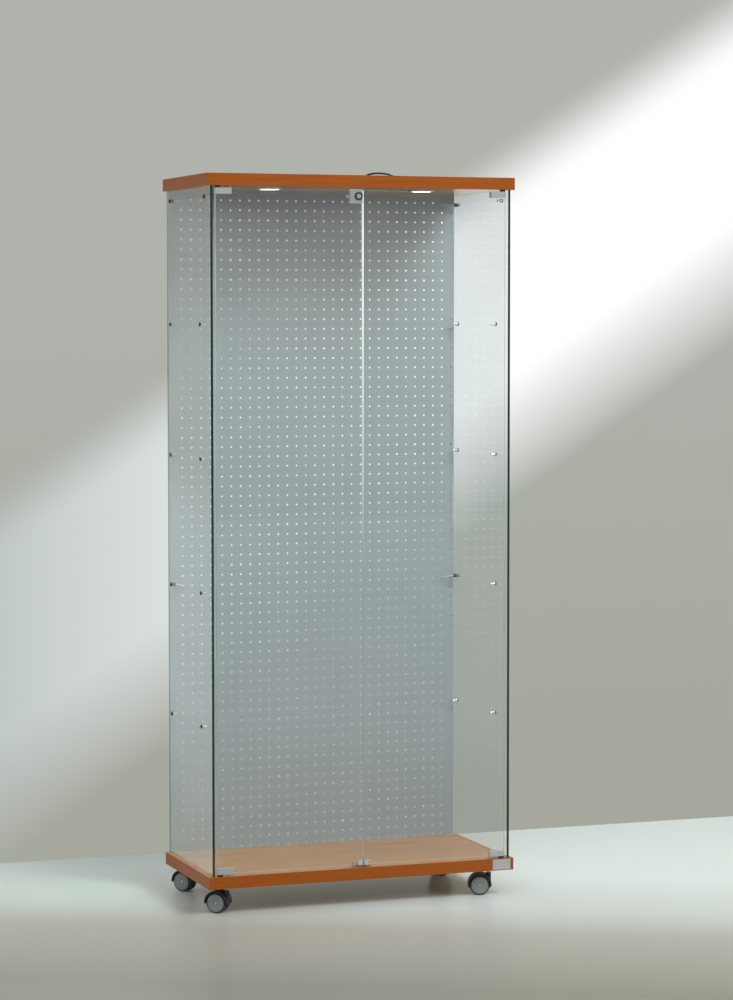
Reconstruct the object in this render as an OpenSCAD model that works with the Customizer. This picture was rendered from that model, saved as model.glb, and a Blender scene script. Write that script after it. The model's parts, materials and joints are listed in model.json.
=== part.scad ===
// Glass display case on castors. Two boards are joined by two glass sides
// that stand in grooves, a perforated steel back and a pair of glass doors on
// corner pivots. All lengths are in millimetres. The origin is the middle of
// the case on the floor, +X to the right, +Z up, and the doors face -Y.

/* [Case] */
// Overall width, over the two boards
case_w = 800; // [760:10:900]
// Overall depth, over the two boards
case_d = 380; // [360:5:420]
// Overall height, from the floor to the top board's upper face
case_h = 1800; // [1700:25:1900]

/* [Boards] */
// Thickness of the base and top boards
board_t = 30; // [28:1:36]
// Thickness of the strip glued round each board
edging_t = 2; // [1:0.5:3]
// Depth of the grooves that hold the glass sides
groove_depth = 8; // [5:1:10]

/* [Glass] */
// Thickness of the side and door glass
glass_t = 6; // [5:0.5:7]
// From a board's end to the outer face of a side glass
side_inset = 10; // [9:1:14]
// From a board's front edge to the front face of the doors
front_inset = 6; // [5:0.5:8]
// From a board's rear edge to the rear edges of the side glasses
rear_inset = 2; // [2:0.5:5]

/* [Doors] */
// Gap between a door's edge and the side glass
door_side_gap = 7; // [6:0.5:9]
// Gap between a door and the boards above and below it
door_end_gap = 7; // [6:0.5:9]
// Gap between the two doors where they meet
door_meeting_gap = 3; // [2:0.5:4]
// From a door's outer edge to its pivot axis
pivot_inset = 7; // [6:0.5:9]

/* [Door hardware] */
// Length of a hinge clamp along the door's edge
clamp_w = 40; // [34:1:50]
// Height of a hinge clamp
clamp_h = 15; // [13:0.5:18]
// Thickness of each clamp plate
clamp_plate_t = 3.8; // [3:0.1:4.5]
// Thickness of the clamp's bridge over the glass edge
clamp_bridge_t = 2; // [1.5:0.1:3]
// Diameter of the pivot pins
pin_d = 5; // [4:0.5:6]
// Depth of the pivot bush's shank in its board
bush_depth = 10; // [8:1:14]
// Width of the lock's body
lock_w = 32; // [30:1:38]
// Height of the lock's body
lock_h = 34; // [32:1:40]
// Diameter of the lock's round shell at its rosette
rosette_d = 20; // [18:0.5:20]
// Diameter of the turning lock cylinder
plug_d = 11; // [9:0.5:12]
// Reach of the lock's cam from the cylinder's axis
cam_reach = 28; // [27:0.5:30]

/* [Back panel] */
// Thickness of the perforated sheet
sheet_t = 1.2; // [1:0.1:2]
// Diameter of the round holes
hole_d = 5; // [4:0.5:6]
// Distance between hole centres, both ways
hole_pitch = 25; // [20:1:30]
// Depth of the folded rim behind the sheet
rim_depth = 8; // [7:0.5:12]
// Width of the lip folded in behind the sheet's sides
lip_w = 20; // [12:1:24]
// From the base board to the lowest row of holes
first_row = 5; // [4:0.5:8]

/* [Shelf pins] */
// Number of shelf levels
pin_levels = 4; // [2:1:5]
// From the base board to the lowest shelf level
pin_first = 358; // [200:1:380]
// Distance between shelf levels
pin_spacing = 328; // [250:1:330]
// From the glass's front edge to the front row of pins
pin_front = 86; // [60:1:110]
// From the glass's rear edge to the rear row of pins
pin_rear = 28; // [26:1:60]
// Diameter of a pin's shank
shank_d = 5; // [4:0.5:6]

/* [Lights] */
// From the middle of the case to each light
light_x = 200; // [150:5:230]
// From the top board's front edge to the middle of the lights
light_inset = 130; // [90:5:180]
// Outside diameter of a light's bezel
bezel_d = 64; // [60:1:72]
// Diameter of the bezel's opening
aperture_d = 40; // [36:1:46]

/* [Castors] */
// From the floor to the base board
castor_h = 65; // [63:1:72]
// Diameter of a wheel
wheel_d = 50; // [46:1:50]
// Width of one wheel
wheel_w = 10.5; // [9:0.5:12]
// Distance of the wheels' axle from the swivel axis
trail = 22; // [20:0.5:24]
// From a board's end to a castor's swivel axis
castor_inset_x = 54; // [52:1:70]
// From the boards' front edge to the front castors' swivel axis
castor_inset_front = 35; // [33:1:50]
// From the boards' rear edge to the rear castors' swivel axis
castor_inset_rear = 55; // [53:1:65]

/* [Hidden] */
$fn = 48;

// Clearances: snug holds a fixed piece, running lets a shaft turn, free is a gap between bodies
snug = 0.1;
running = 0.05;
free = 0.3;
overcut = 1;

// Heights of the boards' faces
base_z0 = castor_h;
base_z1 = castor_h + board_t;
top_z0 = case_h - board_t;
inner_h = top_z0 - base_z1;

// The glass sides
side_x1 = case_w / 2 - side_inset;
side_x0 = side_x1 - glass_t;
front_y = -case_d / 2 + front_inset;
rear_y = case_d / 2 - rear_inset;

// The doors
door_x1 = side_x0 - door_side_gap;
door_x0 = door_meeting_gap / 2;
door_z0 = base_z1 + door_end_gap;
door_z1 = top_z0 - door_end_gap;
door_y = front_y + glass_t / 2;
pivot_x = door_x1 - pivot_inset;

// Hinge clamps, pins and bushes
clamp_y = glass_t / 2 + snug + clamp_plate_t;
bush_flange_d = 14;
bush_shank_d = 9;
bush_flange_h = door_end_gap - clamp_bridge_t - free;
pin_length = bush_flange_h + bush_depth - overcut;
grub_d = 4;
clamp_chamfer = 0.6;

// Pins and caps in the glass sides
cap_d = 10;
cap_h = 2.5;
washer_t = 0.8;
washer_d = 10;
pin_flange_d = 9;
pin_flange_h = 2;
pin_reach = 8;
glass_hole_d = shank_d + 2 * snug;
pin_ys = [front_y + pin_front, rear_y - pin_rear];
pin_zs = [for (i = [0 : pin_levels - 1]) base_z1 + pin_first + i * pin_spacing];
steady_y = front_y + 49;

// The back is two folded sheets, one standing on the other. The upper one starts half a pitch
// above the row that is nearest to the second shelf level
panel_x = side_x0 - free;
panel_y1 = rear_y;
panel_y0 = panel_y1 - rim_depth;
panel_z1 = top_z0 - free;
hole_cols = floor((panel_x - sheet_t - hole_d) / hole_pitch);
hole_rows = floor((inner_h - first_row - hole_pitch / 2) / hole_pitch) + 1;
row_z0 = base_z1 + first_row;
lower_rows = floor((pin_zs[1] - row_z0) / hole_pitch) + 1;
seam_z = row_z0 + (lower_rows - 0.5) * hole_pitch;
top_row_z = row_z0 + (hole_rows - 1) * hole_pitch;

// The ties: [height of the stud in the glass, height of the hole that the rod hooks into]
ties = [[top_row_z - 5, top_row_z], [pin_zs[1], row_z0 + (lower_rows - 1) * hole_pitch]];
tie_rod_d = 4;
tie_x = (hole_cols - 1) * hole_pitch;
tie_stud_d = 9;
tie_stud_h = 8;

// The lock stands in a notch at the left door's upper free corner
lock_x1 = -door_x0 - free;
lock_x0 = lock_x1 - lock_w;
lock_z1 = door_z1 + clamp_bridge_t;
lock_z0 = lock_z1 - lock_h;
lock_front_t = 3;
lock_rear_t = 5;
lock_axis_x = lock_x1 - rosette_d / 2 - 0.5;
lock_axis_z = top_z0 - cam_reach + 7;
lock_front_y = front_y - snug - lock_front_t;
lock_rear_y = front_y + glass_t + snug + lock_rear_t;
notch_w = 23;
notch_h = lock_h - clamp_bridge_t - 5;
shell_d = 15;
rosette_t = front_inset - lock_front_t - snug;
shell_nose_y = lock_front_y - rosette_t;
cam_t = 2.5;
cam_y0 = lock_rear_y + free;
cam_w = 9;
strike_t = 1.2;

// The magnetic catch behind the doors' lower free corners
catch_plate_w = 12;
catch_plate_h = 13;
catch_plate_t = 1.2;
catch_x0 = door_x0 + 0.8;
catch_body_y0 = front_y + glass_t + snug + catch_plate_t + free;
catch_body = [46, 14, 14];

// The lights and the parts that feed them
light_y = -case_d / 2 + light_inset;
can_d = 54;
can_h = 24;
can_wall = 1.5;
bezel_t = 2.5;
lens_t = 2;
lead_d = 3;
lead_groove = lead_d + 0.6;
lead_hole_d = 8;
lamp_lead_z = case_h - lead_groove / 2 - 0.2;
driver_size = [58, 28, 11];
driver_c = [33, 115];

// The mains lead: it crosses over its own coil, which lies on the top board
cord_d = 4.8;
cord_r = cord_d / 2;
gland_len = 22;
gland_d = 8;
cord_z = case_h + 6;
coil_c = [155, 130];
coil_mean_r = 28;
coil_cols = 3;
coil_layers = 3;
plug_size = [36, 35.4, 13.7];
plug_x1 = 94;
plug_y = 164;
route_to_coil = [
  [84, 115, 1806], [92, 115, 1806], [100, 114.8, 1807.6], [108, 114, 1810.8],
  [116, 113, 1814.6], [124, 112, 1817.6], [132, 111, 1819.6], [141, 110, 1820.6],
  [150, 109, 1821], [159, 108, 1820.6], [168, 107, 1819.6], [176, 106, 1817.8],
  [184, 105.2, 1815], [192, 104.6, 1811.4], [200, 104.2, 1807.8], [208, 104.4, 1804.8],
  [216, 105.8, 1803], [224, 109, 1802.4], [231, 114, 1802.4], [236.4, 120.6, 1802.4],
  [239.4, 128.4, 1802.4], [239.8, 136.8, 1802.4], [237.4, 144.8, 1802.4],
  [232.4, 151.8, 1802.4], [225.4, 157.4, 1802.4], [217, 161, 1802.4], [208, 162.6, 1802.4],
  [196, 162.8, 1802.4], [184, 162.8, 1802.4], [170, 162.8, 1802.4]
];
route_to_plug = [
  [146, 162.8, 1812], [138, 163, 1811.6], [130, 163.4, 1810.4], [122, 163.8, 1808.8],
  [114, 164, 1807.6], [106, 164, 1807], [100, 164, 1806.85], [94, 164, 1806.85]
];

// The plate let into the base's front strip
label_size = [48, 26];
label_t = 0.6;

// Castors: [prefix, x side, y side, turn of the fork about its stem]
castors = [["fl", -1, -1, 141], ["fr", 1, -1, 160], ["bl", -1, 1, 129], ["br", 1, 1, 200]];
axle_z = wheel_d / 2;
axle_d = 6;
wheel_gap = 15;
hood_r = wheel_d / 2 + 5;
hood_t = 3.5;
hood_w = wheel_gap + 2 * wheel_w + 1;
boss_d = 14;
stem_pin_d = 8;
stem_neck_d = 11;
stem_neck_h = 9;
stem_d = 8;
socket_d = 11;
socket_h = board_t - 6;

// ---------- small shared shapes ----------

// A round bar from one height to another
module rod(d, z0, z1) {
  translate([0, 0, z0]) cylinder(d = d, h = z1 - z0);
}

// The same shape on both sides of the case
module both_sides() {
  children();
  mirror([1, 0, 0]) children();
}

// A bar along X, from x0 to x1, on the right-hand side
module bar_x(d, x0, x1, y, z) {
  translate([x0, y, z]) rotate([0, 90, 0]) cylinder(d = d, h = x1 - x0);
}

// A bar along Y, from y0 to y1
module bar_y(d, y0, y1, x, z) {
  translate([x, y0, z]) rotate([-90, 0, 0]) cylinder(d = d, h = y1 - y0);
}

// A flat plate with round corners, lying on XY
module round_plate(size, r, h) {
  linear_extrude(h) union() {
    translate([-size[0] / 2 + r, -size[1] / 2]) square([size[0] - 2 * r, size[1]]);
    translate([-size[0] / 2, -size[1] / 2 + r]) square([size[0], size[1] - 2 * r]);
    for (sx = [-1, 1], sy = [-1, 1])
      translate([sx * (size[0] / 2 - r), sy * (size[1] / 2 - r)]) circle(r = r);
  }
}

// Places a child at the stem of one castor, turned to its fork's angle
module at_castor(c) {
  y = c[2] < 0 ? castor_inset_front - case_d / 2 : case_d / 2 - castor_inset_rear;
  translate([c[1] * (case_w / 2 - castor_inset_x), y, 0]) rotate([0, 0, c[3]]) children();
}

// ---------- boards ----------

module board_core() {
  cube([case_w - 2 * edging_t, case_d - 2 * edging_t, board_t]);
}

module board(z0, groove_z) {
  difference() {
    translate([-case_w / 2 + edging_t, -case_d / 2 + edging_t, z0]) board_core();
    both_sides() translate([side_x0 - snug, front_y - snug, groove_z])
      cube([glass_t + 2 * snug, rear_y - front_y + 2 * snug, groove_depth + overcut]);
  }
}

module base_board() color("peru") difference() {
  board(base_z0, base_z1 - groove_depth);
  both_sides() translate([pivot_x, door_y, 0])
    rod(bush_shank_d + 2 * snug, base_z1 - bush_depth - snug, base_z1 + overcut);
  for (c = castors) at_castor(c)
    rod(socket_d + 2 * snug, base_z0 - overcut, base_z0 + socket_h + snug);
}

module top_board() color("peru") difference() {
  board(top_z0, top_z0 - overcut);
  both_sides() {
    translate([pivot_x, door_y, 0])
      rod(bush_shank_d + 2 * snug, top_z0 - overcut, top_z0 + bush_depth + snug);
    translate([light_x, light_y, 0]) {
      rod(can_d + 2 * snug, top_z0 - overcut, top_z0 + can_h + snug);
      rod(lead_hole_d, top_z0, case_h + overcut);
    }
  }
  strike_pocket(cam_reach - 16);
  lamp_lead_paths(case_h - lead_groove, lead_groove);
}

module edging(z0) {
  difference() {
    translate([-case_w / 2, -case_d / 2, z0]) cube([case_w, case_d, board_t]);
    translate([-case_w / 2 + edging_t, -case_d / 2 + edging_t, z0 - overcut])
      cube([case_w - 2 * edging_t, case_d - 2 * edging_t, board_t + 2 * overcut]);
  }
}

module base_edging() color("chocolate") difference() {
  edging(base_z0);
  translate([0, -overcut, 0]) label_seat(overcut + label_t);
}

module top_edging() color("chocolate") edging(top_z0);

// ---------- glass sides and what is fixed through them ----------

// Where a side glass is drilled, as [y, z]: the places of the shelf pins, then of the tie studs.
// A shelf pin gives its place to a stud at the second level of the rear row
function pin_points() = concat(
  [for (y = pin_ys, z = pin_zs) if (y != pin_ys[1] || z != pin_zs[1]) [y, z]],
  [[steady_y, ties[0][0]]]
);
function stud_points() = [for (t = ties) [pin_ys[1], t[0]]];
function glass_points() = concat(pin_points(), stud_points());

module side_glass() {
  difference() {
    translate([side_x0, front_y, base_z1 - groove_depth])
      cube([glass_t, rear_y - front_y, inner_h + 2 * groove_depth - free]);
    for (p = glass_points()) bar_x(glass_hole_d, side_x0 - overcut, side_x1 + overcut, p[0], p[1]);
  }
}

module left_side_glass() color("lightcyan", 0.4) mirror([1, 0, 0]) side_glass();

module right_side_glass() color("lightcyan", 0.4) side_glass();

// A turned pin: a flange against the washer, a nose inside the case and a spigot through the glass
module glass_pin(p) {
  face_x = side_x0 - washer_t;
  bar_x(shank_d, face_x - pin_flange_h - pin_reach, side_x1 + cap_h / 2, p[0], p[1]);
  bar_x(pin_flange_d, face_x - pin_flange_h, face_x, p[0], p[1]);
}

module shelf_pins() color("silver") both_sides() for (p = pin_points()) glass_pin(p);

module cap(p) {
  difference() {
    translate([side_x1, p[0], p[1]]) rotate([0, 90, 0]) union() {
      cylinder(d = cap_d, h = cap_h - 0.8);
      translate([0, 0, cap_h - 0.8]) cylinder(d1 = cap_d, d2 = cap_d - 1.6, h = 0.8);
    }
    bar_x(glass_hole_d, side_x1 - overcut, side_x1 + cap_h / 2 + snug, p[0], p[1]);
  }
}

module glass_caps() color("dimgray") both_sides() for (p = glass_points()) cap(p);

module washer(p) {
  difference() {
    bar_x(washer_d, side_x0 - washer_t, side_x0, p[0], p[1]);
    bar_x(glass_hole_d, side_x0 - washer_t - overcut, side_x0 + overcut, p[0], p[1]);
  }
}

module glass_washers() color("whitesmoke") both_sides() for (p = glass_points()) washer(p);

// ---------- perforated back panel ----------

// The folded sheet seen from above: flat face to the front, a rim and a lip behind each side
module panel_section() {
  t = sheet_t;
  polygon([
    [-panel_x, panel_y0], [panel_x, panel_y0], [panel_x, panel_y1], [panel_x - lip_w, panel_y1],
    [panel_x - lip_w, panel_y1 - t], [panel_x - t, panel_y1 - t], [panel_x - t, panel_y0 + t],
    [-panel_x + t, panel_y0 + t], [-panel_x + t, panel_y1 - t], [-panel_x + lip_w, panel_y1 - t],
    [-panel_x + lip_w, panel_y1], [-panel_x, panel_y1]
  ]);
}

module panel(z0, z1, row0, row1) {
  difference() {
    union() {
      translate([0, 0, z0]) linear_extrude(z1 - z0) panel_section();
      for (z = [z0, z1 - sheet_t])
        translate([-panel_x, panel_y0, z]) cube([2 * panel_x, rim_depth, sheet_t]);
    }
    for (i = [-hole_cols : hole_cols], j = [row0 : row1])
      bar_y(hole_d, panel_y0 - overcut, panel_y0 + sheet_t + overcut,
            i * hole_pitch, row_z0 + j * hole_pitch);
  }
}

module lower_panel() color("lightsteelblue") panel(base_z1, seam_z, 0, lower_rows - 1);

module upper_panel() color("lightsteelblue") panel(seam_z, panel_z1, lower_rows, hole_rows - 1);

// A turned stud with a spigot through the glass, bored at its inner end for the tie's rod
module tie_stud(t) {
  face_x = side_x0 - washer_t;
  difference() {
    union() {
      bar_x(tie_stud_d, face_x - tie_stud_h, face_x, pin_ys[1], t[0]);
      bar_x(shank_d, face_x - 1, side_x1 + cap_h / 2, pin_ys[1], t[0]);
    }
    bar_x(tie_rod_d + 2 * snug, face_x - tie_stud_h - overcut, face_x - 3, pin_ys[1], t[0]);
  }
}

module tie_studs() color("dimgray") both_sides() for (t = ties) tie_stud(t);

// A hooked rod: out of its stud, slanting back to the sheet, through a hole and down behind it
module panel_tie(t) {
  x0 = side_x0 - washer_t - tie_stud_h;
  y0 = pin_ys[1];
  y1 = panel_y0 + sheet_t + 0.3 + tie_rod_d / 2;
  swept_tube(concat(
    [[x0 + 4, y0, t[0]]],
    rounded([x0 + 4, y0, t[0]], [x0 - 5, y0, t[0]], [tie_x, panel_y0 - 6, t[1]], 5),
    rounded([x0 - 5, y0, t[0]], [tie_x, panel_y0 - 6, t[1]], [tie_x, y1, t[1]], 4),
    rounded([tie_x, panel_y0 - 6, t[1]], [tie_x, y1, t[1]], [tie_x, y1, t[1] - 9], 3.4),
    [[tie_x, y1, t[1] - 9]]
  ), tie_rod_d / 2, 14, [1, 1, 1]);
}

module panel_ties() color("gray") both_sides() for (t = ties) panel_tie(t);

// ---------- doors ----------

module door_glass() {
  translate([door_x0, front_y, door_z0]) cube([door_x1 - door_x0, glass_t, door_z1 - door_z0]);
}

module left_door_glass() color("lightcyan", 0.4) difference() {
  mirror([1, 0, 0]) door_glass();
  translate([-door_x0 - notch_w, front_y - overcut, door_z1 - notch_h])
    cube([notch_w + overcut, glass_t + 2 * overcut, notch_h + overcut]);
}

module right_door_glass() color("lightcyan", 0.4) door_glass();

// Places a child at the lower and at the upper pivot of the right-hand door. Its local origin
// is the pivot axis at the clamp's outer face, +Z runs into the glass
module at_pivots() {
  translate([pivot_x, door_y, door_z0 - clamp_bridge_t]) children();
  translate([pivot_x, door_y, door_z1 + clamp_bridge_t]) mirror([0, 0, 1]) children();
}

// A channel that grips the door's corner, drilled for its pin and its two grub screws
module hinge_clamp() {
  c = clamp_chamfer;
  grip = glass_t / 2 + snug;
  difference() {
    translate([pivot_inset, 0, 0]) rotate([90, 0, -90]) linear_extrude(clamp_w) polygon([
      [-clamp_y + c, 0], [clamp_y - c, 0], [clamp_y, c], [clamp_y, clamp_h - c],
      [clamp_y - c, clamp_h], [grip, clamp_h], [grip, clamp_bridge_t], [-grip, clamp_bridge_t],
      [-grip, clamp_h], [-clamp_y + c, clamp_h], [-clamp_y, clamp_h - c], [-clamp_y, c]
    ]);
    rod(pin_d + 2 * snug, -overcut, clamp_bridge_t + overcut);
    for (x = grub_xs()) bar_y(grub_d + 2 * snug, 0, clamp_y + overcut, x, clamp_h * 0.6);
  }
}

function grub_xs() = [-clamp_w * 0.3, -clamp_w * 0.7];

module grub_screws() {
  for (x = grub_xs()) difference() {
    bar_y(grub_d, glass_t / 2 + snug, clamp_y - 0.4, x, clamp_h * 0.6);
    translate([x, clamp_y - 2, clamp_h * 0.6]) rotate([-90, 0, 0]) cylinder(d = 2, h = 3, $fn = 6);
  }
}

module pivot_pin() {
  rod(pin_d, -pin_length, clamp_bridge_t - snug);
}

module left_hinge_clamps() color("silver") mirror([1, 0, 0]) at_pivots() hinge_clamp();

module right_hinge_clamps() color("silver") at_pivots() hinge_clamp();

module left_door_screws() color("gray") {
  mirror([1, 0, 0]) at_pivots() grub_screws();
  for (z = [lock_z0 + 5, lock_z1 - 5]) lock_screw(z);
}

module right_door_screws() color("gray") at_pivots() grub_screws();

module left_pivot_pins() color("silver") mirror([1, 0, 0]) at_pivots() pivot_pin();

module right_pivot_pins() color("silver") at_pivots() pivot_pin();

// A flanged plastic bush, bored for the pin
module pivot_bush() {
  difference() {
    union() {
      rod(bush_flange_d, -free - bush_flange_h, -free);
      rod(bush_shank_d, -free - bush_flange_h - bush_depth, -free - 1);
    }
    rod(pin_d + 2 * running, -free - bush_flange_h - bush_depth - overcut, overcut);
  }
}

module pivot_bushes() color("black") both_sides() at_pivots() pivot_bush();

// A springy clip round the lower edge of a door, for the catch's magnet to hold
module catch_plate() {
  y0 = front_y - snug - catch_plate_t;
  y1 = front_y + glass_t + snug + catch_plate_t;
  z0 = door_z0 - catch_plate_t;
  difference() {
    translate([catch_x0, y0, z0]) cube([catch_plate_w, y1 - y0, catch_plate_h]);
    translate([catch_x0 - overcut, y0 + catch_plate_t, door_z0])
      cube([catch_plate_w + 2 * overcut, glass_t + 2 * snug, catch_plate_h]);
  }
}

module left_catch_plate() color("silver") mirror([1, 0, 0]) catch_plate();

module right_catch_plate() color("silver") catch_plate();

module magnetic_catch() color("whitesmoke") difference() {
  translate([-catch_body[0] / 2, catch_body_y0, base_z1]) cube(catch_body);
  for (s = [-1, 1]) translate([s * 18, catch_body_y0 + catch_body[1] / 2, 0]) {
    rod(3.4, base_z1 - overcut, base_z1 + catch_body[2] + overcut);
    rod(6.4, base_z1 + catch_body[2] - 2, base_z1 + catch_body[2] + overcut);
  }
}

module catch_screws() color("gray")
  for (s = [-1, 1]) translate([s * 18, catch_body_y0 + catch_body[1] / 2, 0]) difference() {
    union() {
      rod(3.2, base_z1 + 0.2, base_z1 + catch_body[2] - 1.9);
      rod(6.2, base_z1 + catch_body[2] - 2, base_z1 + catch_body[2] - 0.2);
    }
    translate([-2.4, -0.4, base_z1 + catch_body[2] - 1]) cube([4.8, 0.8, 2]);
  }

// ---------- lock ----------

module lock_body() color("silver") difference() {
  union() {
    translate([lock_x0, lock_front_y, lock_z0]) cube([lock_w, lock_front_t, lock_h]);
    translate([lock_x0, front_y + glass_t + snug, lock_z0]) cube([lock_w, lock_rear_t, lock_h]);
    translate([lock_x0, front_y - 2 * snug, door_z1 + snug])
      cube([lock_w, glass_t + 4 * snug, clamp_bridge_t - snug]);
    translate([-door_x0 - notch_w + free, front_y - 2 * snug, door_z1 - notch_h + free])
      cube([lock_x1 + door_x0 + notch_w - free, glass_t + 4 * snug, notch_h]);
  }
  bar_y(shell_d + 2 * snug, lock_front_y - overcut, lock_rear_y + overcut, lock_axis_x, lock_axis_z);
  for (z = [lock_z0 + 5, lock_z1 - 5])
    bar_y(grub_d + 2 * snug, front_y + glass_t, lock_rear_y + overcut, lock_x0 + 5, z);
}

module lock_screw(z) {
  difference() {
    bar_y(grub_d, front_y + glass_t + snug, lock_rear_y - 0.4, lock_x0 + 5, z);
    translate([lock_x0 + 5, lock_rear_y - 2, z]) rotate([-90, 0, 0]) cylinder(d = 2, h = 3, $fn = 6);
  }
}

module lock_shell() color("dimgray") difference() {
  union() {
    bar_y(rosette_d, shell_nose_y, lock_front_y, lock_axis_x, lock_axis_z);
    bar_y(shell_d, lock_front_y - 0.01, lock_rear_y, lock_axis_x, lock_axis_z);
  }
  bar_y(plug_d + 2 * running, shell_nose_y - overcut, lock_rear_y + overcut,
        lock_axis_x, lock_axis_z);
}

module lock_cylinder() color("darkgray") difference() {
  union() {
    bar_y(plug_d, shell_nose_y + 0.4, lock_rear_y + 0.2, lock_axis_x, lock_axis_z);
    bar_y(6, lock_rear_y, cam_y0 + cam_t + 1.5, lock_axis_x, lock_axis_z);
  }
  translate([lock_axis_x - 0.8, shell_nose_y - overcut, lock_axis_z - 3.5])
    cube([1.6, 5 + overcut, 7]);
}

// The cam points to the hinge side when unlocked and a quarter turn lifts it into the strike
module lock_cam() color("silver") difference() {
  union() {
    bar_y(cam_w, cam_y0, cam_y0 + cam_t, lock_axis_x, lock_axis_z);
    translate([lock_axis_x - cam_reach, cam_y0, lock_axis_z - cam_w / 2 + 1])
      cube([cam_reach, cam_t, cam_w - 2]);
  }
  bar_y(6 + 2 * snug, cam_y0 - overcut, cam_y0 + cam_t + overcut, lock_axis_x, lock_axis_z);
}

// The slot that the cam's tip swings through, h deep above the board's underside
module strike_pocket(h) {
  translate([lock_axis_x - cam_reach + 4, cam_y0 - 1.5, top_z0 - strike_t - overcut])
    cube([cam_reach + 4, cam_t + 3, h + strike_t + overcut]);
}

module lock_strike() color("silver") {
  w = cam_reach + 14;
  difference() {
    translate([lock_axis_x - w + 9, cam_y0 - 6, top_z0 - strike_t]) cube([w, cam_t + 12, strike_t]);
    strike_pocket(5);
  }
}

// ---------- lights ----------

module bezel() {
  difference() {
    union() {
      rod(bezel_d, top_z0 - bezel_t + 1, top_z0);
      translate([0, 0, top_z0 - bezel_t]) cylinder(d1 = bezel_d - 3, d2 = bezel_d, h = 1.01);
    }
    translate([0, 0, top_z0 - bezel_t - 0.01])
      cylinder(d1 = aperture_d + 6, d2 = aperture_d, h = bezel_t + 0.02);
  }
}

module downlight_bezels() color("silver") both_sides()
  translate([light_x, light_y, 0]) bezel();

module downlight_lenses() color("white") both_sides()
  translate([light_x, light_y, 0]) rod(can_d - 2 * can_wall - 2 * snug, top_z0, top_z0 + lens_t);

module can() {
  difference() {
    rod(can_d, top_z0, top_z0 + can_h);
    rod(can_d - 2 * can_wall, top_z0 - overcut, top_z0 + can_h - can_wall);
  }
}

module downlight_cans() color("gainsboro") both_sides() translate([light_x, light_y, 0]) can();

// The straight runs from each light to the driver: [x0, y0, x1, y1]
function lamp_runs() = [
  [-light_x, light_y, -light_x, driver_c[1]], [-light_x, driver_c[1], driver_c[0] - 20, driver_c[1]],
  [light_x, light_y, light_x, 0], [light_x, 0, driver_c[0] + 20, 0],
  [driver_c[0] + 20, 0, driver_c[0] + 20, driver_c[1] - 4]
];

module lamp_lead_paths(z, h) {
  w = lead_groove;
  for (r = lamp_runs())
    translate([min(r[0], r[2]) - w / 2, min(r[1], r[3]) - w / 2, z])
      cube([abs(r[2] - r[0]) + w, abs(r[3] - r[1]) + w, h + overcut]);
}

module lead_run(r) {
  if (r[0] == r[2])
    bar_y(lead_d, min(r[1], r[3]), max(r[1], r[3]), r[0], lamp_lead_z);
  else
    bar_x(lead_d, min(r[0], r[2]), max(r[0], r[2]), r[1], lamp_lead_z);
}

module lamp_leads() color("dimgray") {
  for (r = lamp_runs()) lead_run(r);
  for (p = [[-light_x, driver_c[1]], [light_x, 0], [driver_c[0] + 20, 0]])
    translate([p[0], p[1], lamp_lead_z]) sphere(d = lead_d + 0.2);
  for (s = [-1, 1]) translate([s * light_x, light_y, 0]) {
    rod(lead_d, top_z0 + can_h, lamp_lead_z);
    translate([0, 0, lamp_lead_z]) sphere(d = lead_d + 0.2);
  }
  for (p = [[driver_c[0] - 20, driver_c[1]], [driver_c[0] + 20, driver_c[1] - 4]])
    translate([p[0], p[1], 0]) {
      rod(lead_d, lamp_lead_z, case_h);
      translate([0, 0, lamp_lead_z]) sphere(d = lead_d + 0.2);
    }
}

module lamp_driver() color("whitesmoke")
  translate([driver_c[0], driver_c[1], case_h]) round_plate(driver_size, 3, driver_size[2]);

// ---------- mains lead ----------

module cord_gland() color("black")
  translate([driver_c[0] + driver_size[0] / 2, driver_c[1], cord_z]) rotate([0, 90, 0])
    cylinder(d1 = gland_d, d2 = cord_d + 0.8, h = gland_len);

// One round tube swept along a list of points, with a ring across the path at each. No stretch
// of the path may run along up
function unit(v) = v / norm(v);
function path_dir(p, i) = unit(p[min(i + 1, len(p) - 1)] - p[max(i - 1, 0)]);
function ring(p, i, r, n, up) =
  let (d = path_dir(p, i), s = unit(cross(d, up)), u = cross(s, d))
  [for (k = [0 : n - 1]) p[i] + r * (cos(360 * k / n) * s + sin(360 * k / n) * u)];

// Points round the corner b of a path from a to c, r before it and after it
function rounded(a, b, c, r) = [for (k = [0 : 6]) let (t = k / 6)
  b - (1 - t) * (1 - t) * r * unit(b - a) + t * t * r * unit(c - b)];

module swept_tube(path, r, n = 10, up = [0, 0, 1]) {
  points = [for (i = [0 : len(path) - 1]) each ring(path, i, r, n, up)];
  last = (len(path) - 1) * n;
  sides = [for (i = [0 : len(path) - 2], k = [0 : n - 1])
    [i * n + k, (i + 1) * n + k, (i + 1) * n + (k + 1) % n, i * n + (k + 1) % n]];
  ends = [[for (k = [0 : n - 1]) k], [for (k = [n - 1 : -1 : 0]) last + k]];
  polyhedron(points, concat(sides, ends));
}

module lead_to_coil() color("black") swept_tube(route_to_coil, cord_r);

module lead_to_plug() color("black") swept_tube(route_to_plug, cord_r);

module cord_coil() color("black") translate([coil_c[0], coil_c[1], case_h]) rotate_extrude()
  translate([coil_mean_r - coil_cols * cord_r, 0]) square([coil_cols * cord_d, coil_layers * cord_d]);

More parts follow.
